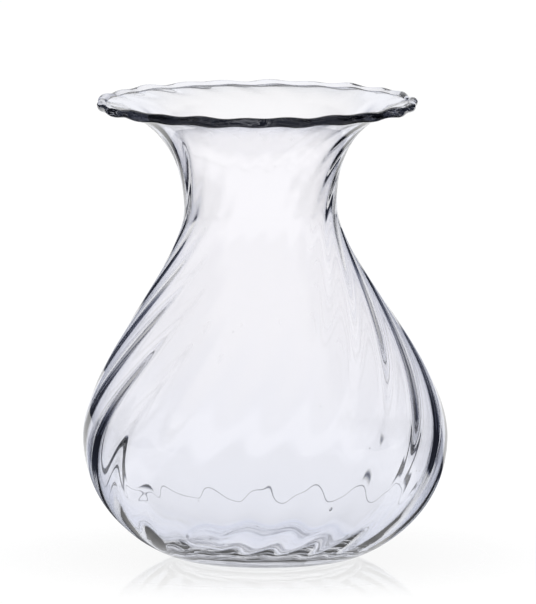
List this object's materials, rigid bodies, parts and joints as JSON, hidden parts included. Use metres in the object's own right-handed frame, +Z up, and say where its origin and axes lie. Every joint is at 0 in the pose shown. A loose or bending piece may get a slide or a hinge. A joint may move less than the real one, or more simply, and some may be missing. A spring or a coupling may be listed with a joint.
{
  "type": "vase",
  "caption": "Mouth-blown clear glass vase with a swirl-ribbed round belly, a narrow neck and a wide flared lip edged with a rippled bead.",
  "frame": {"origin": "on the surface the vase stands on, under the middle of its belly", "axes": "+Z up through the mouth; -Y faces the viewer of the picture; the neck and lip lean slightly towards -X"},
  "size_m": [0.1738, 0.1732, 0.2201],
  "materials": {
    "clear_glass": "fire-polished clear glass with a faint cold grey tint, swirled optic ribs and a few seed bubbles",
    "wrap_glass": "fire-polished clear glass bead, reads near black where its thickness is seen edge on"
  },
  "bodies": {
    "root": {"blown_body": "clear_glass", "lip_wrap": "wrap_glass"}
  },
  "joints": []
}
